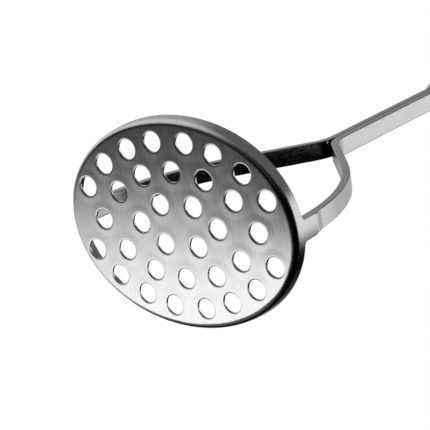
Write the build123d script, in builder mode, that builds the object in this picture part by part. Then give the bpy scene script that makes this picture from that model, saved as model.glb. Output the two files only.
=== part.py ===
from build123d import *
from math import atan2, cos, degrees, radians, sin, sqrt, tan
import os

# A potato masher, standing on its pressing face with the handle up.
# X runs along the oval's long axis, Y along its short axis, and Z up the handle.
# The origin is the centre of the pressing face. Sizes are in millimetres.

# Pressing plate: a pierced oval sheet whose rim is turned up towards the handle
plate_length = 110.0
plate_width = 85.0
plate_sheet = 1.0
rim_height = 6.5
rim_upright = 4.0
rim_corner_radius = 2.2
hole_diameter = 8.0

# Ears: the two tabs that stand up from the rim and carry the bars
ear_width = 8.6
ear_height = 16.4
ear_lean = 3.5
ear_corner_radius = 1.5
ear_root_radius = 1.6

# Bars: flat steel from each ear to the stem
bar_thickness = 3.5
bar_width = 7.8
bar_edge_radius = 0.45
foot_height = 3.6
foot_gap = 0.3
arch_height = 113.0
neck_bend_radius = 17.0
tang_length = 26.0
lean_share = 1.475

# Welds
weld_leg = 0.8
weld_run = 2.4
crotch_weld_depth = 5.0
crotch_weld_setback = 1.6

# Grip: two pressed half shells between a slotted collar and a solid end
grip_start = 195.0
grip_length = 105.0
grip_width = 24.0
grip_depth = 18.0
grip_wall = 0.8
collar_length = 7.0
collar_edge_radius = 1.2
collar_spigot = 4.0
end_length = 27.0
end_edge_radius = 1.2
tang_plate_height = 17.0
tang_plate_thickness = 2.0
eye_diameter = 7.0
eye_drop = 12.0
eye_edge_radius = 0.8
slot_clearance = 0.05
shell_clearance = 0.05

# Hole centres in one quarter of the face, as shares of the half length and the half width
hole_place_shares = [
    (0.147, 0.189), (0.341, 0.0),
    (0.0, 0.508), (0.274, 0.454), (0.510, 0.282), (0.689, 0.0),
    (0.142, 0.785), (0.381, 0.698), (0.613, 0.541), (0.797, 0.308),
]

# Sections up the grip, as shares of its length, width and depth
grip_section_shares = [
    (0.0, 0.54, 0.70),
    (0.08, 0.60, 0.74),
    (0.28, 0.83, 0.89),
    (0.55, 1.0, 1.0),
    (0.78, 0.96, 0.83),
    (0.90, 0.82, 0.60),
    (0.97, 0.56, 0.40),
    (1.0, 0.30, 0.22),
]

overrun = 2.0
half_length = plate_length / 2
half_width = plate_width / 2
ear_rise = ear_height - rim_height
ear_slope = tan(radians(ear_lean))
stem_thickness = 2 * bar_thickness
tang_top = grip_start + tang_length
grip_top = grip_start + grip_length
collar_top = grip_start + collar_length
end_bottom = grip_top - end_length


# The face is drawn as one ellipse, raised by the sheet for the inside of the dish
def oval(height, inset=0.0):
    with BuildSketch(Plane.XY.offset(height)) as outline:
        Ellipse(half_length - inset, half_width - inset)
    return outline.sketch


# Every hole centre, each quarter's place mirrored without doubling those on an axis
def hole_centres():
    places = []
    for along_share, across_share in hole_place_shares:
        for side in (1, -1) if along_share else (1,):
            for end in (1, -1) if across_share else (1,):
                places.append((side * along_share * half_length, end * across_share * half_width))
    return places


# Pressing plate: the rim and the band that the ears are cut from are drawn up in one
with BuildPart() as pressing_plate:
    extrude(oval(0), amount=rim_upright)
    fillet(pressing_plate.edges().group_by(Axis.Z)[0], rim_corner_radius)
    band_height = ear_height - rim_upright
    extrude(oval(rim_upright), amount=band_height, taper=ear_lean)
    extrude(oval(rim_upright, plate_sheet), amount=band_height, taper=ear_lean, mode=Mode.SUBTRACT)
    extrude(oval(plate_sheet, plate_sheet), amount=rim_upright - plate_sheet, mode=Mode.SUBTRACT)
    dish_floor = pressing_plate.faces().filter_by(Axis.Z).sort_by(Axis.Z)[1]
    fillet(dish_floor.outer_wire().edges(), rim_corner_radius - plate_sheet)
    # What is left above the rim is the two ears
    with BuildSketch(Plane.YZ) as ear_waste:
        with Locations((0, rim_height)):
            Rectangle(plate_width + overrun, ear_rise + overrun, align=(Align.CENTER, Align.MIN))
            Rectangle(ear_width, ear_rise, align=(Align.CENTER, Align.MIN), mode=Mode.SUBTRACT)
        tab_corners = ear_waste.vertices().filter_by_position(Axis.X, -ear_width / 2, ear_width / 2)
        fillet(tab_corners.group_by(Axis.Y)[0], ear_root_radius)
        fillet(tab_corners.group_by(Axis.Y)[-1], ear_corner_radius)
    extrude(amount=half_length + overrun, both=True, mode=Mode.SUBTRACT)
    with BuildSketch():
        with Locations(*hole_centres()):
            Circle(hole_diameter / 2)
    extrude(amount=plate_sheet + overrun, mode=Mode.SUBTRACT)
pressing_plate.part.label = "pressing_plate"

# The inside of the rim wall where a bar's edges meet it, in the plane of the arch
wall_share = bar_width / 2 / (half_width - plate_sheet)
wall_inside = (half_length - plate_sheet) * sqrt(1 - wall_share**2)


# The middle of a bar's foot, which stands on the ear's slope at a small weld gap
def foot_middle(height):
    return wall_inside - foot_gap - (height - rim_upright) * ear_slope - bar_thickness / 2


# The arch bends in from the ear's slope, runs straight, and bends back to the stem
arch_run = foot_middle(ear_height) - bar_thickness / 2
arch_rise = arch_height - ear_height
start_angle = radians(ear_lean)
run_angle = lean_share * atan2(arch_run, arch_rise)
neck_run = neck_bend_radius * (1 - cos(run_angle))
arch_radius = (arch_rise * sin(run_angle) - arch_run * cos(run_angle) - neck_run) / (
    1 - cos(run_angle - start_angle)
)
bend_run = arch_radius * (cos(start_angle) - cos(run_angle))
straight_run = (arch_run - bend_run - neck_run) / sin(run_angle)

# Right bar: one flat bar swept from its foot up through the arch to the tang in the grip
with BuildPart() as right_bar:
    with BuildLine(Plane.XZ) as bar_route:
        foot = Line((foot_middle(foot_height), foot_height), (foot_middle(ear_height), ear_height))
        bend = JernArc(foot @ 1, foot % 1, arch_radius, degrees(run_angle - start_angle))
        run = Line(bend @ 1, bend @ 1 + straight_run * (bend % 1))
        neck = JernArc(run @ 1, run % 1, neck_bend_radius, -degrees(run_angle))
        Line(neck @ 1, (bar_thickness / 2, tang_top))
    bar_start = Plane(bar_route.line @ 0, x_dir=(0, 1, 0), z_dir=bar_route.line % 0)
    with BuildSketch(bar_start):
        RectangleRounded(bar_width, bar_thickness, bar_edge_radius)
    sweep(path=bar_route.line)
right_bar.part.label = "right_bar"

# Left bar: the mirror twin, lying face to face with the right bar in the stem
with BuildPart() as left_bar:
    mirror(right_bar.part, about=Plane.YZ)
left_bar.part.label = "left_bar"


# The outside of the bar on its first bend, in the plane of the arch
def bend_outside(height):
    centre_x = foot_middle(ear_height) - arch_radius * cos(start_angle)
    centre_z = ear_height - arch_radius * sin(start_angle)
    return centre_x + sqrt((arch_radius + bar_thickness / 2) ** 2 - (height - centre_z) ** 2)


# The middle of the ear's sheet, and its outside at the ear's side edges
def ear_middle(height):
    return half_length - plate_sheet / 2 - (height - rim_upright) * ear_slope


# Right foot weld: fills between ear and bar, wraps the bar's sides and is ground down above
weld_bottom = foot_height + weld_leg
weld_top = ear_height + weld_run
weld_inside = bar_thickness / 2 - weld_leg
ear_side_share = ear_width / 2 / half_width
ear_side_outside = (ear_middle(ear_height) + plate_sheet / 2) * sqrt(1 - ear_side_share**2)
with BuildPart() as right_foot_weld:
    with BuildSketch(Plane.XZ):
        with BuildLine():
            Polyline(
                (foot_middle(weld_bottom) + weld_inside, weld_bottom),
                (ear_middle(weld_bottom), weld_bottom),
                (ear_middle(ear_height), ear_height - plate_sheet),
                (ear_side_outside, ear_height),
                (bend_outside(weld_top), weld_top),
                (foot_middle(ear_height) + weld_inside, ear_height),
                close=True,
            )
        make_face()
    extrude(amount=ear_width / 2, both=True)
    add(pressing_plate.part, mode=Mode.SUBTRACT)
    add(right_bar.part, mode=Mode.SUBTRACT)
right_foot_weld.part.label = "right_foot_weld"

with BuildPart() as left_foot_weld:
    mirror(right_foot_weld.part, about=Plane.YZ)
left_foot_weld.part.label = "left_foot_weld"

# Crotch weld: the short seam that fills the V between the bars just under the stem
with BuildPart() as crotch_weld:
    with BuildSketch(Plane.XY.offset(arch_height - crotch_weld_setback)):
        Rectangle(stem_thickness / 2, bar_width - 2 * bar_edge_radius)
    extrude(amount=-crotch_weld_depth)
    add(right_bar.part, mode=Mode.SUBTRACT)
    add(left_bar.part, mode=Mode.SUBTRACT)
crotch_weld.part.label = "crotch_weld"


# A stretch of the grip's form between two heights, drawn in from its outside by the inset
def grip_form(inset, bottom, top):
    sections = []
    for length_share, width_share, depth_share in grip_section_shares:
        with BuildSketch(Plane.XY.offset(grip_start + length_share * grip_length)) as section:
            Ellipse(width_share * grip_width / 2 - inset, depth_share * grip_depth / 2 - inset)
        sections.append(section.sketch)
    with BuildPart() as form:
        loft(sections)
        with BuildSketch(Plane.XY.offset(bottom)):
            Rectangle(2 * grip_width, 2 * grip_depth)
        extrude(amount=top - bottom, mode=Mode.INTERSECT)
    return form.part


# The slot that the two bars pass through together
def tang_slot(bottom, top):
    with BuildPart() as slot:
        with BuildSketch(Plane.XY.offset(bottom)):
            Rectangle(stem_thickness + 2 * slot_clearance, bar_width + 2 * slot_clearance)
        extrude(amount=top - bottom)
    return slot.part


spigot_inset = grip_wall + shell_clearance

# Grip collar: closes the grip's lower end round the bars, with a spigot inside the shells
with BuildPart() as grip_collar:
    add(grip_form(0, grip_start, collar_top))
    fillet(grip_collar.edges().group_by(Axis.Z)[0], collar_edge_radius)
    add(grip_form(spigot_inset, collar_top, collar_top + collar_spigot))
    add(tang_slot(grip_start - overrun, collar_top + collar_spigot + overrun), mode=Mode.SUBTRACT)
grip_collar.part.label = "grip_collar"

# Tang plate: centres the bars' ends inside the grip
tang_plate_bottom = grip_start + tang_plate_height
tang_plate_top = tang_plate_bottom + tang_plate_thickness
with BuildPart() as tang_plate:
    add(grip_form(spigot_inset, tang_plate_bottom, tang_plate_top))
    add(tang_slot(tang_plate_bottom - overrun, tang_plate_top + overrun), mode=Mode.SUBTRACT)
tang_plate.part.label = "tang_plate"

# Grip shells: the hollow form, parted along the plane of the arch
with BuildPart() as grip_front_shell:
    add(grip_form(0, collar_top, end_bottom))
    add(grip_form(grip_wall, collar_top, end_bottom), mode=Mode.SUBTRACT)
    split(bisect_by=Plane.XZ, keep=Keep.TOP)
grip_front_shell.part.label = "grip_front_shell"

with BuildPart() as grip_back_shell:
    mirror(grip_front_shell.part, about=Plane.XZ)
grip_back_shell.part.label = "grip_back_shell"

# Grip end: solid, flattened towards its rounded tip, with the hanging eye through it
with BuildPart() as grip_end:
    add(grip_form(0, end_bottom, grip_top))
    fillet(grip_end.edges().group_by(Axis.Z)[-1], end_edge_radius)
    add(grip_form(spigot_inset, end_bottom - collar_spigot, end_bottom))
    with BuildSketch(Plane.XZ):
        with Locations((0, grip_top - eye_drop)):
            Circle(eye_diameter / 2)
    extrude(amount=grip_depth, both=True, mode=Mode.SUBTRACT)
    eye = grip_end.faces().filter_by(GeomType.CYLINDER)[0]
    fillet(eye.edges().filter_by(lambda edge: edge.length > eye_diameter), eye_edge_radius)
grip_end.part.label = "grip_end"

os.makedirs("parts", exist_ok=True)
pieces = [
    pressing_plate, right_bar, left_bar, right_foot_weld, left_foot_weld, crotch_weld,
    grip_collar, tang_plate, grip_front_shell, grip_back_shell, grip_end,
]
for piece in pieces:
    export_step(piece.part, f"parts/{piece.part.label}.step")
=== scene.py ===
from math import atan2, cos, hypot, pi, radians, sin, sqrt, tan

import bmesh
import bpy
from mathutils import Matrix, Vector


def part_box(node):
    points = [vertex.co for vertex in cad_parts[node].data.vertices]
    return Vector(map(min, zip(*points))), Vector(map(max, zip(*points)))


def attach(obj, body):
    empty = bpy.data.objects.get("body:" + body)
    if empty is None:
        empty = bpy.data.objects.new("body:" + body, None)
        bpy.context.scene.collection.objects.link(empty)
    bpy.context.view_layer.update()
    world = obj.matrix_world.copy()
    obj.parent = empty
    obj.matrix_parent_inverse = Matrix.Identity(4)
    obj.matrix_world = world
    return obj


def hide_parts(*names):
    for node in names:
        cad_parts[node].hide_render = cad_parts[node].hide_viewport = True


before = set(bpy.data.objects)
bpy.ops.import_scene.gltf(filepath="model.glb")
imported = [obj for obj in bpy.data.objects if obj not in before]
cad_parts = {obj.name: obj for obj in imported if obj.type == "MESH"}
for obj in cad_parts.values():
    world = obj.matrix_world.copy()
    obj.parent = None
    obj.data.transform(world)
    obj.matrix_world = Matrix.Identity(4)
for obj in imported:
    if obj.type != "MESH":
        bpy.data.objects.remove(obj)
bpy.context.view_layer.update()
mm = 0.001
tolerances = {
    "outline": mm / 10,  # a point this close to a line of an outline is on it
    "surface": mm / 100,
    "merge": mm / 1000,
    "cut": mm / 10000,
}
shadedSharp = radians(50)  # faces that turn by more than this at an edge are shaded sharp there
bevelledFrom = radians(60)  # and a cut edge that turns by more than this is broken
smooth = {"interpolation_type": "SMOOTHSTEP"}
print("frame loaded")


# Adds a node with its settings, and sets or links its inputs
def addNode(tree, kind, settings=None, inputs=None):
    node = tree.nodes.new(kind)
    for setting, value in (settings or {}).items():
        setattr(node, setting, value)
    for socket, value in (inputs or {}).items():
        if isinstance(value, bpy.types.NodeSocket):
            tree.links.new(value, node.inputs[socket])
        else:
            node.inputs[socket].default_value = value
    return node


# An sRGB hex colour as linear red, green, blue and alpha
def linearColour(hexColour):
    channels = [int(hexColour[start:start + 2], 16) / 255 for start in (1, 3, 5)]
    return [c / 12.92 if c <= 0.04045 else ((c + 0.055) / 1.055) ** 2.4 for c in channels] + [1.0]


def emptyMaterial(name):
    material = bpy.data.materials.new(name)
    material.use_nodes = True
    material.node_tree.nodes.clear()
    return material


# Brushed stainless steel, 18/10 as kitchen tools have it. Belts of fine grit leave long
# shallow scratches, so it gives a soft grey reflection that is drawn out across them.
# On a bent piece the grain runs along the attribute "grain", and the pattern follows
# "unbent", the place on the metal before it was bent, with the scratches along its Z.
# A third attribute darkens the colour as painted shade, in the deep V between the bars
# where little light gets in, and "worked" marks where the heat or a punch has changed its
# surface, which loses its brushing there.
brushedFinish = {
    "colour": "#b8b8b9",
    "paleColour": "#fefefe",
    "roughness": 0.24,
    "roughnessSpread": 0.10,
    "anisotropy": 0.55,
    "bent": True,
    "scratchWidth": 0.22 * mm,  # 180 grit cuts about 0.05 mm, drawn coarser so that it shows
    "scratchLength": 6 * mm,
    "bandWidth": 0.8 * mm,
    "bandLength": 9 * mm,
    "scratchDepth": 0.016 * mm,
    "scratchDetail": 3.0,
    "scratchUnevenness": 0.6,
    "bandShare": 0.5,  # of the pattern, the rest being scratches
    "faintest": 0.3,  # the pattern lies between these two almost everywhere
    "strongest": 0.7,
    "streakTurn": 0.25,  # a quarter turn, because the light is drawn out across the scratches
    "paintedShadeColour": "#3c3a38",  # painted shade: the dark grey the V between the bars is darkened to, where little light gets in and no belt reaches
    "workedRoughness": 0.3,
    "raised": [],  # centres round which the sheet is raised, folded into one quarter
    "raisedTo": 8.0 * mm,
    "raisedFrom": 3.6 * mm,
    "raisedHeight": 0.07 * mm,
}


def brushedSteel(name, changes=None):
    finish = dict(brushedFinish, **(changes or {}))
    material = emptyMaterial(name)
    tree = material.node_tree
    if finish["bent"]:
        place = addNode(tree, "ShaderNodeAttribute", {"attribute_name": "unbent"}).outputs["Vector"]
        grain = addNode(tree, "ShaderNodeAttribute", {"attribute_name": "grain"}).outputs["Vector"]
    else:
        place = addNode(tree, "ShaderNodeTexCoord").outputs["Object"]
        grain = addNode(tree, "ShaderNodeCombineXYZ", None, {"Z": 1.0}).outputs["Vector"]
    patterns = []
    for width, length in (
        (finish["scratchWidth"], finish["scratchLength"]),
        (finish["bandWidth"], finish["bandLength"]),
    ):
        stretched = addNode(tree, "ShaderNodeMapping", None, {
            "Vector": place, "Scale": (1 / width, 1 / width, 1 / length),
        })
        noise = addNode(tree, "ShaderNodeTexNoise", None, {
            "Vector": stretched.outputs["Vector"], "Scale": 1.0,
            "Detail": finish["scratchDetail"], "Roughness": finish["scratchUnevenness"],
        })
        patterns.append(noise.outputs["Fac"])
    scratches, bands = patterns
    marks = addNode(tree, "ShaderNodeMix", None, {
        "Factor": finish["bandShare"], "A": scratches, "B": bands,
    })
    roughness = addNode(tree, "ShaderNodeMapRange", None, {
        "Value": marks.outputs["Result"],
        "From Min": finish["faintest"], "From Max": finish["strongest"],
        "To Min": finish["roughness"] - finish["roughnessSpread"] / 2,
        "To Max": finish["roughness"] + finish["roughnessSpread"] / 2,
    })
    colour = addNode(tree, "ShaderNodeMix", {"data_type": "RGBA"}, {0: marks.outputs["Result"]})
    colour.inputs[6].default_value = linearColour(finish["colour"])
    colour.inputs[7].default_value = linearColour(finish["paleColour"])
    relief = addNode(tree, "ShaderNodeBump", None, {
        "Strength": 1.0, "Distance": finish["scratchDepth"], "Height": marks.outputs["Result"],
    })
    if finish["raised"]:
        inObject = addNode(tree, "ShaderNodeTexCoord").outputs["Object"]
        quarter = addNode(tree, "ShaderNodeVectorMath", {"operation": "ABSOLUTE"}, {0: inObject})
        flat = addNode(tree, "ShaderNodeVectorMath", {"operation": "MULTIPLY"}, {
            0: quarter.outputs["Vector"], 1: (1, 1, 0),
        })
        height = 0.0
        for along, across in finish["raised"]:
            away = addNode(tree, "ShaderNodeVectorMath", {"operation": "DISTANCE"}, {
                0: flat.outputs["Vector"], 1: (along, across, 0),
            })
            lip = addNode(tree, "ShaderNodeMapRange", smooth, {
                "Value": away.outputs["Value"],
                "From Min": finish["raisedTo"], "From Max": finish["raisedFrom"],
            })
            total = addNode(tree, "ShaderNodeMath", {"operation": "ADD"}, {
                0: height, 1: lip.outputs["Result"],
            })
            height = total.outputs["Value"]
        swell = addNode(tree, "ShaderNodeBump", None, {
            "Strength": 1.0, "Distance": finish["raisedHeight"], "Height": height,
        })
        tree.links.new(swell.outputs["Normal"], relief.inputs["Normal"])
    # painted shade: the colour is darkened toward a dark grey in the deep V between the bars
    paintedShade = addNode(tree, "ShaderNodeAttribute", {"attribute_name": "paintedShade"}).outputs["Fac"]
    colourWithPaintedShade = addNode(tree, "ShaderNodeMix", {"data_type": "RGBA"}, {0: paintedShade, 6: colour.outputs[2]})
    colourWithPaintedShade.inputs[7].default_value = linearColour(finish["paintedShadeColour"])
    worked = addNode(tree, "ShaderNodeAttribute", {"attribute_name": "worked"}).outputs["Fac"]
    allRoughness = addNode(tree, "ShaderNodeMix", None, {
        "Factor": worked, "A": roughness.outputs["Result"], "B": finish["workedRoughness"],
    })
    brushed = addNode(tree, "ShaderNodeMix", None, {
        "Factor": worked, "A": finish["anisotropy"], "B": 0.0,
    })
    steel = addNode(tree, "ShaderNodeBsdfPrincipled", None, {
        "Base Color": colourWithPaintedShade.outputs[2], "Metallic": 1.0, "Roughness": allRoughness.outputs["Result"],
        "Anisotropic": brushed.outputs["Result"], "Anisotropic Rotation": finish["streakTurn"],
        "Tangent": grain, "Normal": relief.outputs["Normal"],
    })
    addNode(tree, "ShaderNodeOutputMaterial", None, {"Surface": steel.outputs["BSDF"]})
    return material


# Flat bar brushed before it is bent, a little less evenly than the plate: softer streaks
barSteel = brushedSteel("brushedStainlessBar", {"scratchLength": 5 * mm, "anisotropy": 0.4})

# Weld metal ground level with a small wheel: short scratches and a duller shine
weldSteel = brushedSteel("groundStainlessWeld", {
    "bent": False, "scratchLength": 1.5 * mm, "roughness": 0.3,
})

# Pressed sheet finished along the grip with a soft belt: long faint streaks
gripSteel = brushedSteel("satinStainlessGrip", {
    "bent": False, "scratchLength": 12 * mm, "roughness": 0.28,
})
print("materials made")


# The verts, edges or faces among what an operator gives
def only(kind, geom):
    return [part for part in geom if isinstance(part, kind)]


# Grows one ring from open edges, and gives the new verts and the new ring's edges
def growRing(bm, edges):
    grown = bmesh.ops.extrude_edge_only(bm, edges=edges)["geom"]
    verts = only(bmesh.types.BMVert, grown)
    isNew = set(verts)
    return verts, [edge for edge in only(bmesh.types.BMEdge, grown) if isNew.issuperset(edge.verts)]


# Grows a bar's end face by one stretch, and gives the new verts and the new end.
# The first face stays, because it closes the bar's foot.
def growEnd(bm, end):
    isFoot = all(len(edge.link_faces) == 1 for face in end for edge in face.edges)
    grown = bmesh.ops.extrude_face_region(bm, geom=end)["geom"]
    if not isFoot:
        bmesh.ops.delete(bm, geom=[face for face in end if face.is_valid], context="FACES_ONLY")
    return only(bmesh.types.BMVert, grown), only(bmesh.types.BMFace, grown)


# A flat rectangle with rounded corners, round the origin
def roundedRectangle(bm, size, radius, steps):
    bmesh.ops.create_grid(bm, x_segments=1, y_segments=1, size=0.5)
    bmesh.ops.scale(bm, vec=(*size, 1), verts=bm.verts)
    bmesh.ops.bevel(
        bm, geom=bm.verts[:], affect="VERTICES", offset=radius, offset_type="OFFSET",
        segments=steps, profile=0.5, material=-1,
    )


# Writes, for each vertex, its place before bending and the direction of its brushing
def brushAlong(bm, unbent, grain):
    places = bm.verts.layers.float_vector.new("unbent")
    directions = bm.verts.layers.float_vector.new("grain")
    for vert in bm.verts:
        vert[places] = unbent(vert.co)
        vert[directions] = grain(vert.co)


# An object in the scene from a bmesh, with its material
def meshObject(bm, name, material):
    mesh = bpy.data.meshes.new(name)
    bm.to_mesh(mesh)
    bm.free()
    mesh.materials.append(material)
    made = bpy.data.objects.new(name, mesh)
    bpy.context.scene.collection.objects.link(made)
    return made


# Makes a bmesh a smooth piece that stands for its CAD node
def finishPiece(bm, name, node, material):
    bmesh.ops.remove_doubles(bm, verts=bm.verts, dist=tolerances["merge"])
    bmesh.ops.recalc_face_normals(bm, faces=bm.faces)
    for face in bm.faces:
        face.smooth = True
    for edge in bm.edges:
        edge.smooth = len(edge.link_faces) != 2 or edge.calc_face_angle() < shadedSharp
    openEdges = sum(not edge.is_manifold for edge in bm.edges)
    piece = meshObject(bm, name, material)
    piece.modifiers.new("evenShading", "WEIGHTED_NORMAL").keep_sharp = True
    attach(piece, "root")
    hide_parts(node)
    print(name, len(piece.data.polygons), "faces,", openEdges, "open edges")


# Oval rings up through sections of (half length, half width, height), and the two end rings
def ovalRings(bm, sections, steps):
    along, across, height = sections[0]
    verts = bmesh.ops.create_circle(bm, segments=steps, radius=1)["verts"]
    bmesh.ops.scale(bm, vec=(along, across, 1), verts=verts)
    bmesh.ops.translate(bm, vec=(0, 0, height), verts=verts)
    first = edges = list({edge for vert in verts for edge in vert.link_edges})
    for nextAlong, nextAcross, nextHeight in sections[1:]:
        verts, edges = growRing(bm, edges)
        bmesh.ops.scale(bm, vec=(nextAlong / along, nextAcross / across, 1), verts=verts)
        bmesh.ops.translate(bm, vec=(0, 0, nextHeight - height), verts=verts)
        along, across, height = nextAlong, nextAcross, nextHeight
    return first, edges


# Pressing plate: stainless sheet, pierced and dished, with two ears standing up from its rim
halfLength, halfWidth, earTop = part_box("pressing_plate")[1]
plate = {
    "sheet": 1.0 * mm,
    "upright": 4.0 * mm,  # the wall stands straight up to here and leans in above
    "rimTop": 6.5 * mm,
    "lean": radians(3.5),
    "cornerRadius": 2.3 * mm,
    "cornerSteps": 8,
    "easeRadius": 4.0 * mm,  # the corner starts this gently on the face
    "easeAngle": radians(14),
    "easeSteps": 4,
    "flare": 0.48 * mm,  # the rim's top stands out this far along the two long sides
    "flareFrom": 0.38,  # in sines of the angle round the oval
    "flareTo": 0.90,
    "earWidth": 8.6 * mm,
    "earRoot": 1.6 * mm,
    "earCorner": 1.5 * mm,
    "earSteps": 8,
    "cutEdge": 0.25 * mm,
    "cutSteps": 3,
    "holeWidth": 8.2 * mm,
    "drawWidth": 0.8 * mm,  # the punch draws the sheet in round each hole, this far out
    "drawDepth": 0.25 * mm,
    "drawSteps": 8,
    "burrBreak": 0.12 * mm,  # the hole widens where the punch breaks through
    "burrSteps": 2,
    "ringSteps": 360,
    "holeSteps": 48,
}
# Hole centres in one quarter, as shares of the half length and the half width
holeShares = [
    (0.147, 0.189), (0.341, 0.0),
    (0.0, 0.508), (0.274, 0.454), (0.510, 0.282), (0.689, 0.0),
    (0.142, 0.785), (0.381, 0.698), (0.613, 0.541), (0.797, 0.308),
]
holeCentres = sorted({
    (side * along * halfLength, end * across * halfWidth)
    for along, across in holeShares for side in (1, -1) for end in (1, -1)
})

# Sheet brushed across the oval before it is pierced: grey grain, with bright hole walls
plateSteel = brushedSteel("brushedStainlessPlate", {
    "raised": [(along * halfLength, across * halfWidth) for along, across in holeShares],
    "workedRoughness": 0.12,  # the punch burnishes the walls of the holes
})


# A quarter round as (inward, upward) shares, from flat on the face to flat on the wall
def quarterRound(steps):
    return [(1 - sin(pi / 2 * k / steps), 1 - cos(pi / 2 * k / steps)) for k in range(steps + 1)]


# The corner from the wall to the face as (inset, height), for the outside or for the inside
def cornerProfile(depth):
    bend, ease, change = plate["cornerRadius"], plate["easeRadius"], plate["easeAngle"]
    profile = []
    for step in range(plate["cornerSteps"] + 1):
        angle = radians(90) + (change - radians(90)) * step / plate["cornerSteps"]
        inset = bend * (1 - sin(angle))
        height = bend * (1 - cos(angle)) + (ease - bend) * (1 - cos(change))
        profile.append((inset + depth * sin(angle), height + depth * cos(angle)))
    for step in reversed(range(plate["easeSteps"])):
        angle = change * step / plate["easeSteps"]
        inset = bend * (1 - sin(change)) + ease * (sin(change) - sin(angle))
        height = ease * (1 - cos(angle))
        profile.append((inset + depth * sin(angle), height + depth * cos(angle)))
    return profile


# The wall and one ear as a flat blank, cut, edged and then bent round the oval
def bendBand(bm):
    reach = pi / 2 * halfWidth
    earHalf = plate["earWidth"] / 2
    close = tolerances["outline"]
    outline = [
        (reach, plate["upright"]), (reach, plate["rimTop"]),
        (earHalf, plate["rimTop"]), (earHalf, earTop),
    ]
    outline += [(-across, height) for across, height in reversed(outline)]
    corners = [bm.verts.new((across, 0, height)) for across, height in outline]
    bm.faces.new(corners)
    for height, radius in ((plate["rimTop"], plate["earRoot"]), (earTop, plate["earCorner"])):
        rounded = [
            v for v in bm.verts
            if abs(abs(v.co.x) - earHalf) < close and abs(v.co.z - height) < close
        ]
        bmesh.ops.bevel(
            bm, geom=rounded, affect="VERTICES", offset=radius, offset_type="OFFSET",
            segments=plate["earSteps"], profile=0.5, material=-1,
        )
    slab = bmesh.ops.extrude_face_region(bm, geom=bm.faces[:])["geom"]
    bmesh.ops.translate(bm, vec=(0, plate["sheet"], 0), verts=only(bmesh.types.BMVert, slab))
    joined = [
        face for face in bm.faces
        if all(v.co.z < plate["upright"] + close for v in face.verts)
        or all(abs(v.co.x) > reach - close for v in face.verts)
    ]
    bmesh.ops.delete(bm, geom=joined, context="FACES_ONLY")
    bmesh.ops.delete(bm, geom=[edge for edge in bm.edges if edge.is_wire], context="EDGES")
    bmesh.ops.recalc_face_normals(bm, faces=bm.faces)
    cutEdges = [e for e in bm.edges if len(e.link_faces) == 2 and e.calc_face_angle() > bevelledFrom]
    bmesh.ops.bevel(
        bm, geom=cutEdges, affect="EDGES", offset=plate["cutEdge"], offset_type="OFFSET",
        segments=plate["cutSteps"], profile=0.5, material=-1,
    )
    columns = plate["ringSteps"] // 4
    for column in range(1 - columns, columns):
        bmesh.ops.bisect_plane(
            bm, geom=bm.verts[:] + bm.edges[:] + bm.faces[:], dist=tolerances["cut"],
            plane_co=(reach * column / columns, 0, 0), plane_no=(1, 0, 0),
        )
    for vert in bm.verts:
        turn = vert.co.x / halfWidth
        inset = vert.co.y + max(0, vert.co.z - plate["upright"]) * tan(plate["lean"])
        vert.co.x = (halfLength - inset) * cos(turn)
        vert.co.y = (halfWidth - inset) * sin(turn)
    twin = bmesh.ops.duplicate(bm, geom=bm.verts[:] + bm.edges[:] + bm.faces[:])["geom"]
    halfTurn = Matrix.Rotation(pi, 3, "Z")
    bmesh.ops.rotate(bm, cent=(0, 0, 0), matrix=halfTurn, verts=only(bmesh.types.BMVert, twin))


# A hole's wall from its drawn-in edge on the face, through the sheet, to the inside
def pierceHole(bm, centre, profile):
    radius, height = profile[0]
    place = Matrix.Translation((*centre, height))
    verts = bmesh.ops.create_circle(bm, segments=plate["holeSteps"], radius=radius, matrix=place)["verts"]
    toCentre = Matrix.Translation((-centre[0], -centre[1], 0))
    first = edges = list({edge for vert in verts for edge in vert.link_edges})
    for nextRadius, nextHeight in profile[1:]:
        verts, edges = growRing(bm, edges)
        ratio = nextRadius / radius
        bmesh.ops.scale(bm, vec=(ratio, ratio, 1), space=toCentre, verts=verts)
        bmesh.ops.translate(bm, vec=(0, 0, nextHeight - height), verts=verts)
        radius, height = nextRadius, nextHeight
    return first, edges


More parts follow.
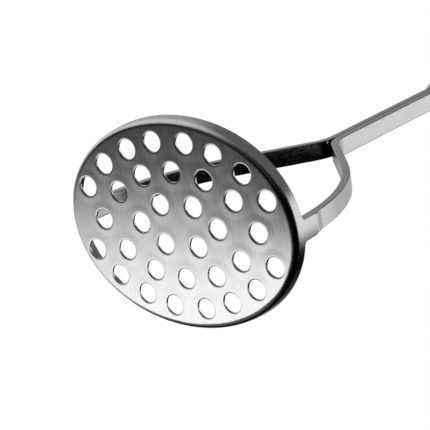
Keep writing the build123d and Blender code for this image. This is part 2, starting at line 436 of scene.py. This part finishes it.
def makePlate():
    bm = bmesh.new()
    bendBand(bm)
    sheet = plate["sheet"]
    floors = []
    for depth in (0, sheet):
        profile = [(depth, plate["upright"])] + cornerProfile(depth)
        sections = [(halfLength - inset, halfWidth - inset, height) for inset, height in profile]
        floors.append(ovalRings(bm, sections, plate["ringSteps"])[1])
    holeRadius, burr = plate["holeWidth"] / 2, plate["burrBreak"]
    works = bm.verts.layers.float.new("worked")
    for centre in holeCentres:
        wall = [
            (holeRadius + plate["drawWidth"] * inward, plate["drawDepth"] * up)
            for inward, up in quarterRound(plate["drawSteps"])
        ]
        wall += [
            (holeRadius + burr * inward, sheet - burr * up)
            for inward, up in reversed(quarterRound(plate["burrSteps"]))
        ]
        onFace, inside = pierceHole(bm, centre, wall)
        floors[0] += onFace
        floors[1] += inside
    for vert in bm.verts:
        toHole = min(hypot(vert.co.x - x, vert.co.y - y) for x, y in holeCentres)
        vert[works] = toHole < holeRadius + tolerances["surface"]
    for floor in floors:
        bmesh.ops.triangle_fill(bm, use_beauty=True, use_dissolve=False, edges=floor, normal=(0, 0, -1))

    # The long sides of the wall lean out a little, as the stamping leaves them
    for vert in bm.verts:
        rise = (vert.co.z - plate["cornerRadius"]) / (plate["rimTop"] - plate["cornerRadius"])
        outward = Vector((vert.co.x / halfLength**2, vert.co.y / halfWidth**2, 0)).normalized()
        turn = atan2(vert.co.y / halfWidth, vert.co.x / halfLength)
        share = (abs(sin(turn)) - plate["flareFrom"]) / (plate["flareTo"] - plate["flareFrom"])
        share = min(1, max(0, share))
        vert.co += outward * plate["flare"] * max(0, rise) * share**2 * (3 - 2 * share)

    # The face is brushed along Y, and the wall and ears round the rim
    def unbent(place):
        if place.z < plate["cornerRadius"]:
            return place.x, place.z, place.y
        return place.z, 0, atan2(place.y / halfWidth, place.x / halfLength) * halfWidth

    def grain(place):
        if place.z < plate["cornerRadius"]:
            return 0, 1, 0
        alongRim = (-place.y * halfLength / halfWidth, place.x * halfWidth / halfLength, 0)
        return Vector(alongRim).normalized()

    brushAlong(bm, unbent, grain)
    finishPiece(bm, "pierced_plate", "pressing_plate", plateSteel)


makePlate()

# Bars: flat steel with rounded edges, bent from the ear's slope over the arch into the stem
bar = {
    "thickness": 3.5 * mm,
    "width": 7.8 * mm,
    "edgeRadius": 0.45 * mm,
    "edgeSteps": 5,
    "footHeight": 3.6 * mm,
    "footGap": 0.3 * mm,
    "archHeight": 113 * mm,
    "neckRadius": 17 * mm,
    "tangTop": 221 * mm,
    "leanRatio": 1.475,  # how much more the straight stretch leans than a line from ear to stem
    "archSteps": 48,
    "neckSteps": 24,
    # between these two heights the inner faces darken into painted shade, toward the V between the bars
    "paintedShadeFrom": 97 * mm,
    "paintedShadeTo": 104 * mm,
    "innerShare": 0.45,  # of the thickness, beyond which a point is on the inner face
}
insideLength, insideWidth = halfLength - plate["sheet"], halfWidth - plate["sheet"]
wallInside = insideLength * sqrt(1 - (bar["width"] / 2 / insideWidth) ** 2)


# The middle of a bar's foot on the slope of its ear
def footMiddle(height):
    slope = (height - plate["upright"]) * tan(plate["lean"])
    return wallInside - bar["footGap"] - slope - bar["thickness"] / 2


archRun = footMiddle(earTop) - bar["thickness"] / 2
archRise = bar["archHeight"] - earTop
runAngle = bar["leanRatio"] * atan2(archRun, archRise)
neckRun = bar["neckRadius"] * (1 - cos(runAngle))
archSpread = archRise * sin(runAngle) - archRun * cos(runAngle) - neckRun
archRadius = archSpread / (1 - cos(runAngle - plate["lean"]))
bendRun = archRadius * (cos(plate["lean"]) - cos(runAngle))
straightRun = (archRun - bendRun - neckRun) / sin(runAngle)


def makeBar(name, node, side):
    bm = bmesh.new()
    roundedRectangle(bm, (bar["thickness"], bar["width"]), bar["edgeRadius"], bar["edgeSteps"])
    places = bm.verts.layers.float_vector.new("unbent")
    directions = bm.verts.layers.float_vector.new("grain")
    paintedShades = bm.verts.layers.float.new("paintedShade")
    works = bm.verts.layers.float.new("worked")
    for vert in bm.verts:
        vert[places] = vert.co
        vert[directions] = (-side * sin(plate["lean"]), 0, cos(plate["lean"]))
    lean, travelled = plate["lean"], 0
    middle = Vector((footMiddle(bar["footHeight"]), 0, bar["footHeight"]))
    bmesh.ops.rotate(bm, cent=(0, 0, 0), matrix=Matrix.Rotation(-lean, 3, "Y"), verts=bm.verts)
    bmesh.ops.translate(bm, vec=middle, verts=bm.verts)
    end = bm.faces[:]

    # Each move is a length along the bar and a turn, taken in a number of steps
    foot = (earTop - bar["footHeight"]) / cos(plate["lean"])
    moves = [
        (foot, 0, 1),
        (archRadius * (runAngle - plate["lean"]), runAngle - plate["lean"], bar["archSteps"]),
        (straightRun, 0, 1),
        (bar["neckRadius"] * runAngle, -runAngle, bar["neckSteps"]),
        (bar["tangTop"] - bar["archHeight"], 0, 1),
    ]
    for length, turn, steps in moves:
        for step in range(steps):
            verts, end = growEnd(bm, end)
            angle = turn / steps
            chord = length / steps if not turn else 2 * length / turn * sin(angle / 2)
            way = Vector((-sin(lean + angle / 2), 0, cos(lean + angle / 2)))
            bmesh.ops.rotate(bm, cent=middle, matrix=Matrix.Rotation(-angle, 3, "Y"), verts=verts)
            bmesh.ops.translate(bm, vec=way * chord, verts=verts)
            middle += way * chord
            lean += angle
            travelled += length / steps
            for vert in verts:
                vert[places] = (vert[places].x, vert[places].y, travelled)
                vert[directions] = (-side * sin(lean), 0, cos(lean))
                isInside = vert[places].x < -bar["innerShare"] * bar["thickness"]
                # painted shade: the inner faces darken up the arch into the V between the bars, and lose
                # their brushing there
                share = (vert.co.z - bar["paintedShadeFrom"]) / (bar["paintedShadeTo"] - bar["paintedShadeFrom"])
                vert[paintedShades] = vert[works] = min(1, max(0, share)) if isInside else 0
    print(name, "ends at", [round(c / mm, 2) for c in middle])
    bmesh.ops.scale(bm, vec=(side, 1, 1), verts=bm.verts)
    finishPiece(bm, name, node, barSteel)


makeBar("arch_bar_right", "right_bar", 1)
makeBar("arch_bar_left", "left_bar", -1)

# Foot welds: filler between ear and bar, standing out at the bar's sides and ground to a ramp
footWeld = {
    "bottom": 6.8 * mm,
    "startLength": 1.0 * mm,  # over which it widens from narrower than the bar
    "startNarrower": 0.3 * mm,
    "sideReach": 0.8 * mm,
    "proud": 0.06 * mm,
    "inSheet": 0.2 * mm,  # reaches this far into the ear's sheet
    "cornerFill": 1.9 * mm,  # below the ear's end, it also fills beside the ear's rounded corners
    "fillLength": 0.3 * mm,
    "below": 0.42 * mm,  # the ear's outer face, there
    "endBelow": 0.1 * mm,  # the ramp starts just under the ear's end
    "rampLength": 6.0 * mm,
    "rampSteps": 12,
    "tipNarrower": 0.1 * mm,
    "tipReach": 0.1 * mm,
    "tipProud": 0.02 * mm,
    "cornerRadius": 0.35 * mm,
    "cornerSteps": 4,
}


# The outside of the bar in the plane of the arch
def barOutside(height):
    if height <= earTop:
        return footMiddle(height) + bar["thickness"] / 2
    centreX = footMiddle(earTop) - archRadius * cos(plate["lean"])
    centreZ = earTop - archRadius * sin(plate["lean"])
    return centreX + sqrt((archRadius + bar["thickness"] / 2) ** 2 - (height - centreZ) ** 2)


def makeFootWeld(name, node, side):
    earSlope = tan(plate["lean"])
    startWidth = bar["width"] / 2 - footWeld["startNarrower"]
    proudWidth = bar["width"] / 2 + footWeld["proud"]
    behind = plate["sheet"] - footWeld["inSheet"]
    bottom, filled = footWeld["bottom"], earTop - footWeld["cornerFill"]
    rampFrom = earTop - footWeld["endBelow"]

    # Stations up the weld: height, innermost and outermost x, and half width
    stations = []
    for height, width, depth in (
        (bottom, startWidth, behind),
        (bottom + footWeld["startLength"], proudWidth, behind),
        (filled - footWeld["fillLength"], proudWidth, behind),
        (filled, proudWidth, footWeld["below"]),
        (rampFrom, proudWidth, footWeld["below"]),
    ):
        outside = halfLength - depth - (height - plate["upright"]) * earSlope
        stations.append((height, barOutside(height) - footWeld["sideReach"], outside, width))
    rampStart = stations[-1][2] - barOutside(earTop)
    for step in range(1, footWeld["rampSteps"] + 1):
        share = step / footWeld["rampSteps"]
        height = rampFrom + share * footWeld["rampLength"]
        fall = rampStart * (1 - share) ** 2 * (1 + 2 * share)
        width = proudWidth - (footWeld["proud"] + footWeld["tipNarrower"]) * share
        reach = footWeld["sideReach"] * (1 - share) + footWeld["tipReach"]
        surface = barOutside(height)
        stations.append((height, surface - reach, surface + fall + footWeld["tipProud"], width))

    bm = bmesh.new()
    height, low, high, width = stations[0]
    roundedRectangle(bm, (high - low, 2 * width), footWeld["cornerRadius"], footWeld["cornerSteps"])
    bmesh.ops.translate(bm, vec=((low + high) / 2, 0, height), verts=bm.verts)
    end = bm.faces[:]
    for nextHeight, nextLow, nextHigh, nextWidth in stations[1:]:
        verts, end = growEnd(bm, end)
        toCentre = Matrix.Translation((-(low + high) / 2, 0, 0))
        ratio = ((nextHigh - nextLow) / (high - low), nextWidth / width, 1)
        bmesh.ops.scale(bm, vec=ratio, space=toCentre, verts=verts)
        move = ((nextLow + nextHigh - low - high) / 2, 0, nextHeight - height)
        bmesh.ops.translate(bm, vec=move, verts=verts)
        height, low, high, width = nextHeight, nextLow, nextHigh, nextWidth
    bmesh.ops.scale(bm, vec=(side, 1, 1), verts=bm.verts)
    finishPiece(bm, name, node, weldSteel)


# Crotch weld: a small hollow fillet high in the V, with the bead where it was started
crotchWeld = {
    "top": 111.4 * mm,
    "bottom": 108.6 * mm,
    "bite": 0.12 * mm,  # into the bars
    "hollow": 0.35 * mm,
    "steps": 6,
    "bead": (-0.95 * mm, -2.8 * mm, 106.2 * mm),
    "beadRadius": 0.75 * mm,
}


# Half the gap between the bars in the bend below the stem
def neckGap(height):
    inner = bar["neckRadius"] + bar["thickness"] / 2
    return inner - sqrt(inner**2 - max(0, bar["archHeight"] - height) ** 2)


def makeCrotchWeld():
    bm = bmesh.new()
    low, high, steps = crotchWeld["bottom"], crotchWeld["top"], crotchWeld["steps"]
    half = neckGap(low) + crotchWeld["bite"]
    bmesh.ops.create_grid(bm, x_segments=steps, y_segments=1, size=0.5)
    bmesh.ops.scale(bm, vec=(2 * half, bar["width"] - 2 * bar["edgeRadius"], 1), verts=bm.verts)
    bmesh.ops.translate(bm, vec=(0, 0, low), verts=bm.verts)
    top = bmesh.ops.extrude_face_region(bm, geom=bm.faces[:], use_keep_orig=True)["geom"]
    raised = only(bmesh.types.BMVert, top)
    narrow = (neckGap(high) + crotchWeld["bite"]) / half
    bmesh.ops.scale(bm, vec=(narrow, 1, 1), verts=raised)
    bmesh.ops.translate(bm, vec=(0, 0, high - low), verts=raised)
    for vert in bm.verts:
        if vert.co.z < low + tolerances["surface"]:
            vert.co.z += crotchWeld["hollow"] * (1 - (vert.co.x / half) ** 2)
    # painted shade: the whole fillet deep in the V is darkened, and its surface is not brushed
    paintedShades = bm.verts.layers.float.new("paintedShade")
    works = bm.verts.layers.float.new("worked")
    for vert in bm.verts:
        vert[paintedShades] = vert[works] = 1
    bead = Matrix.Translation(crotchWeld["bead"])
    bmesh.ops.create_icosphere(bm, subdivisions=3, radius=crotchWeld["beadRadius"], matrix=bead)
    finishPiece(bm, "crotch_weld_fillet", "crotch_weld", weldSteel)


makeCrotchWeld()
makeFootWeld("foot_weld_right", "right_foot_weld", 1)
makeFootWeld("foot_weld_left", "left_foot_weld", -1)
print("bars and welds made")

# Grip: two pressed half shells between a slotted collar and a solid end
grip = {
    "start": 195 * mm,
    "length": 105 * mm,
    "width": 24 * mm,
    "depth": 18 * mm,
    "wall": 0.8 * mm,
    "collarTop": 202 * mm,
    "endBottom": 273 * mm,
    "collarEdge": 1.2 * mm,
    "jointEdge": 0.14 * mm,  # the ground joints still show as a fine line
    "slotClearance": 0.05 * mm,
    "ringStep": 1.5 * mm,
    "ringSides": 96,
    "collarSteps": 6,
    "jointSteps": 2,
    "shareTolerance": 1e-9,
    # height, width and depth as shares of the grip's length, width and depth
    "shares": [
        (0.0, 0.54, 0.70), (0.08, 0.60, 0.74), (0.28, 0.83, 0.89), (0.55, 1.0, 1.0),
        (0.78, 0.96, 0.83), (0.90, 0.82, 0.60), (0.97, 0.56, 0.40), (1.0, 0.30, 0.22),
    ],
}


# A smooth curve through the shares gives the grip's half width and half depth at a height
def gripHalves(height):
    shares = grip["shares"]
    place = (height - grip["start"]) / grip["length"]
    low = max(k for k in range(len(shares) - 1) if shares[k][0] <= place + grip["shareTolerance"])
    here, there = shares[low], shares[low + 1]
    before, after = shares[max(low - 1, 0)], shares[min(low + 2, len(shares) - 1)]
    span = there[0] - here[0]
    t = (place - here[0]) / span
    halves = []
    for part, size in ((1, grip["width"]), (2, grip["depth"])):
        leaving = (there[part] - before[part]) / (there[0] - before[0]) * span
        arriving = (after[part] - here[part]) / (after[0] - here[0]) * span
        value = (2 * t**3 - 3 * t**2 + 1) * here[part] + (t**3 - 2 * t**2 + t) * leaving
        value += (3 * t**2 - 2 * t**3) * there[part] + (t**3 - t**2) * arriving
        halves.append(value * size / 2)
    return halves


def gripSections(bottom, top, inset):
    count = max(1, round((top - bottom) / grip["ringStep"]))
    heights = [bottom + (top - bottom) * k / count for k in range(count + 1)]
    return [(gripHalves(h)[0] - inset, gripHalves(h)[1] - inset, h) for h in heights]


def makeShell(name, node, side):
    bm = bmesh.new()
    outer = gripSections(grip["collarTop"], grip["endBottom"], 0)
    inner = gripSections(grip["collarTop"], grip["endBottom"], grip["wall"])
    first, last = ovalRings(bm, outer + inner[::-1], grip["ringSides"])
    bmesh.ops.bridge_loops(bm, edges=first + last)
    cut = bmesh.ops.bisect_plane(
        bm, geom=bm.verts[:] + bm.edges[:] + bm.faces[:], dist=tolerances["cut"],
        plane_co=(0, 0, 0), plane_no=(0, side, 0), clear_inner=True,
    )["geom_cut"]
    bmesh.ops.holes_fill(bm, edges=only(bmesh.types.BMEdge, cut), sides=0)
    bmesh.ops.recalc_face_normals(bm, faces=bm.faces)
    sharp = [e for e in bm.edges if len(e.link_faces) == 2 and e.calc_face_angle() > bevelledFrom]
    bmesh.ops.bevel(
        bm, geom=sharp, affect="EDGES", offset=grip["jointEdge"], offset_type="OFFSET",
        segments=grip["jointSteps"], profile=0.5, material=-1,
    )
    finishPiece(bm, name, node, gripSteel)


def makeCollar():
    bm = bmesh.new()
    start, top, corner = grip["start"], grip["collarTop"], grip["collarEdge"]
    sections = []
    for inward, up in quarterRound(grip["collarSteps"]):
        height, inset = start + corner * up, corner * (1 - inward)
        sections.append((gripHalves(height)[0] - inset, gripHalves(height)[1] - inset, height))
    sections += gripSections(start + corner, top - grip["jointEdge"], 0)[1:]
    for inset in (grip["jointEdge"], grip["wall"]):
        sections.append((gripHalves(top)[0] - inset, gripHalves(top)[1] - inset, top))
    foot, head = ovalRings(bm, sections, grip["ringSides"])
    slot = bmesh.ops.create_grid(bm, x_segments=1, y_segments=1, size=0.5)["verts"]
    slack = 2 * grip["slotClearance"]
    bmesh.ops.scale(bm, vec=(2 * bar["thickness"] + slack, bar["width"] + slack, 1), verts=slot)
    bmesh.ops.translate(bm, vec=(0, 0, start), verts=slot)
    slotFoot = list({edge for vert in slot for edge in vert.link_edges})
    lid = list({face for vert in slot for face in vert.link_faces})
    bmesh.ops.delete(bm, geom=lid, context="FACES_ONLY")
    walls, slotHead = growRing(bm, slotFoot)
    bmesh.ops.translate(bm, vec=(0, 0, top - start), verts=walls)
    for edges, up in ((foot + slotFoot, -1), (head + slotHead, 1)):
        bmesh.ops.triangle_fill(bm, use_beauty=True, use_dissolve=False, edges=edges, normal=(0, 0, up))
    finishPiece(bm, "grip_collar_slotted", "grip_collar", gripSteel)


makeShell("grip_shell_front", "grip_front_shell", -1)
makeShell("grip_shell_back", "grip_back_shell", 1)
makeCollar()

# CAD nodes whose shape is right
for node, material in (("tang_plate", weldSteel), ("grip_end", gripSteel)):
    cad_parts[node].data.materials.clear()
    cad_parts[node].data.materials.append(material)
print("grip made")

# Studio: a white background all round, with soft-edged flags that only the steel sees.
# The photograph's steel is dark where it faces the camera's side and the two right walls,
# and bright where it sees the white overhead, on the left and below the pressing face.
studio = {
    "domeRadius": 2.5,
    "grey": 0.12,
    # azimuth from +X towards +Y and elevation in degrees, full out to, faded by, brightness
    "flags": {
        "black round the camera": (335, -49, 38, 58, 0.0),
        "dim below the near side": (290, -55, 10, 36, 0.035),
        "black low on the right": (48, -48, 45, 62, 0.0),
        "black on the right": (11, 4, 37, 51, 0.0),
        "black at the far side": (95, 20, 42, 60, 0.0),
        "white on the left": (172, 40, 6, 36, 0.46),
        "grey high at the far left": (122, 35, 15, 40, 0.045),
        "grey low on the left": (221, 16, 12, 37, 0.58),
        "white low at the near side": (228, -10, 14, 43, 0.72),
        "white low on the left": (195, 5, 8, 24, 0.75),
        "white at the far left": (157, 3, 6, 20, 1.0),
        "overhead at the far side": (142, 42, 5, 20, 0.45),
        "overhead on the right": (5, 50, 11, 22, 1.0),
        "overhead over the ear": (18, 71, 10, 23, 0.88),
        "overhead": (90, 84, 8, 24, 0.53),
        "overhead on the left": (157, 60, 8, 22, 0.53),
    },
    # A card below the face, bright from the middle towards +Y, in metres
    "cardHeight": -0.1,
    "cardSlant": 0.36,  # "across" is y with this much of x
    "cardLow": (-0.32, -0.085),
    "cardHigh": (0.06, 0.28),
    "cardDark": 0.08,
    "cardBright": 1.38,
    # each ramp: measured along, start and end, value there
    "cardRamps": {
        "softRise": ("y", 0.003, 0.083, 0.0, 1.0),
        "crispRise": ("y", 0.028, 0.06, 0.0, 1.0),
        "atRight": ("x", -0.06, -0.035, 0.0, 1.0),
        "upperEnd": ("across", 0.092, 0.073, 0.02, 1.0),
        "rightEnd": ("x", 0.018, -0.004, 0.0, 1.0),
        "leftEnd": ("x", -0.27, -0.21, 0.0, 1.0),
        "leftDim": ("x", -0.105, -0.145, 1.0, 0.84),
        "nearDim": ("y", -0.002, -0.03, 1.0, 0.3),
    },
    "floorFade": (0.35, 0.9),
    "floorRadius": 1.0,
    "floorSides": 96,
    "floorHeight": -0.5 * mm,
    "floorColour": "#fafafa",
}


# A stage object that only the steel's reflections see
def makeCard(bm, name, material):
    card = meshObject(bm, name, material)
    card.visible_camera = False
    card.visible_diffuse = False
    card.visible_transmission = False
    card.visible_shadow = False
    return card


# Black and grey flags hung round the part, with gaps that let the white background through.
# They give the steel its dark sides and the bright streaks between them.
def makeDome():
    material = emptyMaterial("flagDome")
    tree = material.node_tree
    place = addNode(tree, "ShaderNodeTexCoord").outputs["Object"]
    direction = addNode(tree, "ShaderNodeVectorMath", {"operation": "NORMALIZE"}, {0: place})
    light = studio["grey"]
    for azimuth, elevation, full, faded, brightness in studio["flags"].values():
        azimuth, elevation = radians(azimuth), radians(elevation)
        towards = (cos(azimuth) * cos(elevation), sin(azimuth) * cos(elevation), sin(elevation))
        facing = addNode(tree, "ShaderNodeVectorMath", {"operation": "DOT_PRODUCT"}, {
            0: direction.outputs["Vector"], 1: towards,
        })
        cover = addNode(tree, "ShaderNodeMapRange", smooth, {
            "Value": facing.outputs["Value"],
            "From Min": cos(radians(faded)), "From Max": cos(radians(full)),
        })
        mixed = addNode(tree, "ShaderNodeMix", None, {
            "Factor": cover.outputs["Result"], "A": light, "B": brightness,
        })
        light = mixed.outputs["Result"]
    black = addNode(tree, "ShaderNodeEmission", None, {"Strength": 0.0})
    opening = addNode(tree, "ShaderNodeBsdfTransparent")
    flag = addNode(tree, "ShaderNodeMixShader", None, {
        0: light, 1: black.outputs["Emission"], 2: opening.outputs["BSDF"],
    })
    addNode(tree, "ShaderNodeOutputMaterial", None, {"Surface": flag.outputs["Shader"]})
    bm = bmesh.new()
    bmesh.ops.create_icosphere(bm, subdivisions=4, radius=studio["domeRadius"])
    makeCard(bm, "flag_dome", material)


# A lit card below, bright at the far side and fading at its ends. The pressing face shows it.
def makeFaceCard():
    material = emptyMaterial("gradedCard")
    tree = material.node_tree
    place = addNode(tree, "ShaderNodeTexCoord").outputs["Object"]
    along = addNode(tree, "ShaderNodeSeparateXYZ", None, {0: place})
    (lowX, lowY), (highX, highY) = studio["cardLow"], studio["cardHigh"]
    across = addNode(tree, "ShaderNodeMath", {"operation": "MULTIPLY_ADD"}, {
        0: along.outputs["X"], 1: studio["cardSlant"], 2: along.outputs["Y"],
    })
    places = {"x": along.outputs["X"], "y": along.outputs["Y"], "across": across.outputs["Value"]}
    ramps = {}
    for name, (measured, start, end, low, high) in studio["cardRamps"].items():
        ramp = addNode(tree, "ShaderNodeMapRange", smooth, {
            "Value": places[measured],
            "From Min": start, "From Max": end, "To Min": low, "To Max": high,
        })
        ramps[name] = ramp.outputs["Result"]
    rise = addNode(tree, "ShaderNodeMix", None, {
        "Factor": ramps["atRight"], "A": ramps["softRise"], "B": ramps["crispRise"],
    })
    bright = addNode(tree, "ShaderNodeMath", {"operation": "MULTIPLY"}, {
        0: rise.outputs["Result"], 1: ramps["upperEnd"],
    })
    level = addNode(tree, "ShaderNodeMapRange", None, {
        "Value": bright.outputs["Value"],
        "To Min": studio["cardDark"], "To Max": studio["cardBright"],
    })
    strength = level.outputs["Result"]
    for name in ("rightEnd", "leftEnd", "leftDim", "nearDim"):
        shown = addNode(tree, "ShaderNodeMath", {"operation": "MULTIPLY"}, {0: strength, 1: ramps[name]})
        strength = shown.outputs["Value"]
    glow = addNode(tree, "ShaderNodeEmission", None, {"Strength": strength})
    addNode(tree, "ShaderNodeOutputMaterial", None, {"Surface": glow.outputs["Emission"]})
    bm = bmesh.new()
    bmesh.ops.create_grid(bm, x_segments=1, y_segments=1, size=0.5)
    bmesh.ops.scale(bm, vec=(highX - lowX, highY - lowY, 1), verts=bm.verts)
    middle = ((lowX + highX) / 2, (lowY + highY) / 2, studio["cardHeight"])
    bmesh.ops.translate(bm, vec=middle, verts=bm.verts)
    makeCard(bm, "graded_card", material)


# Pale floor just under the plate. It can't be seen from below, keeps the masher's shadow,
# and fades into the white background further out.
def makeFloor():
    material = emptyMaterial("paleFloor")
    tree = material.node_tree
    place = addNode(tree, "ShaderNodeTexCoord").outputs["Object"]
    distance = addNode(tree, "ShaderNodeVectorMath", {"operation": "LENGTH"}, {0: place})
    full, faded = studio["floorFade"]
    near = addNode(tree, "ShaderNodeMapRange", smooth, {
        "Value": distance.outputs["Value"], "From Min": faded, "From Max": full,
    })
    below = addNode(tree, "ShaderNodeNewGeometry").outputs["Backfacing"]
    above = addNode(tree, "ShaderNodeMath", {"operation": "SUBTRACT"}, {0: 1.0, 1: below})
    shown = addNode(tree, "ShaderNodeMath", {"operation": "MULTIPLY"}, {
        0: near.outputs["Result"], 1: above.outputs["Value"],
    })
    pale = addNode(tree, "ShaderNodeBsdfDiffuse", None, {"Color": linearColour(studio["floorColour"])})
    clear = addNode(tree, "ShaderNodeBsdfTransparent")
    floorMix = addNode(tree, "ShaderNodeMixShader", None, {
        0: shown.outputs["Value"], 1: clear.outputs["BSDF"], 2: pale.outputs["BSDF"],
    })
    addNode(tree, "ShaderNodeOutputMaterial", None, {"Surface": floorMix.outputs["Shader"]})
    bm = bmesh.new()
    sides, radius = studio["floorSides"], studio["floorRadius"]
    bmesh.ops.create_circle(bm, cap_ends=True, segments=sides, radius=radius)
    bmesh.ops.translate(bm, vec=(0, 0, studio["floorHeight"]), verts=bm.verts)
    floor = makeCard(bm, "pale_floor", material)
    floor.visible_camera = True
    floor.visible_glossy = False


# The photograph's white background, which is also its light
def makeWorld():
    world = bpy.data.worlds.new("whiteBackground")
    bpy.context.scene.world = world
    world.use_nodes = True
    tree = world.node_tree
    tree.nodes.clear()
    white = addNode(tree, "ShaderNodeBackground", None, {"Color": (1, 1, 1, 1), "Strength": 1.0})
    addNode(tree, "ShaderNodeOutputWorld", None, {"Surface": white.outputs["Background"]})


makeDome()
makeFaceCard()
makeFloor()
makeWorld()
print("studio made")

# Camera: the photograph looks up at the pressing face from below and to one side
camera = {
    "place": (0.488087, -0.225929, -0.581714),
    "forward": (-0.6026, 0.28242, 0.7464),
    "up": (-0.07035, -0.95044, 0.30283),
    "lens": 171.62,
    "sensor": 36,
    "clipStart": 0.01,
}


def makeCamera():
    data = bpy.data.cameras.new("camera")
    data.lens = camera["lens"]
    data.sensor_width = camera["sensor"]
    data.clip_start = camera["clipStart"]
    viewer = bpy.data.objects.new("camera", data)
    bpy.context.scene.collection.objects.link(viewer)
    back = -Vector(camera["forward"]).normalized()
    right = Vector(camera["up"]).cross(back).normalized()
    turn = Matrix((right, back.cross(right), back)).transposed().to_4x4()
    viewer.matrix_world = Matrix.Translation(camera["place"]) @ turn
    bpy.context.scene.camera = viewer


makeCamera()
bpy.context.scene.view_settings.view_transform = "Standard"
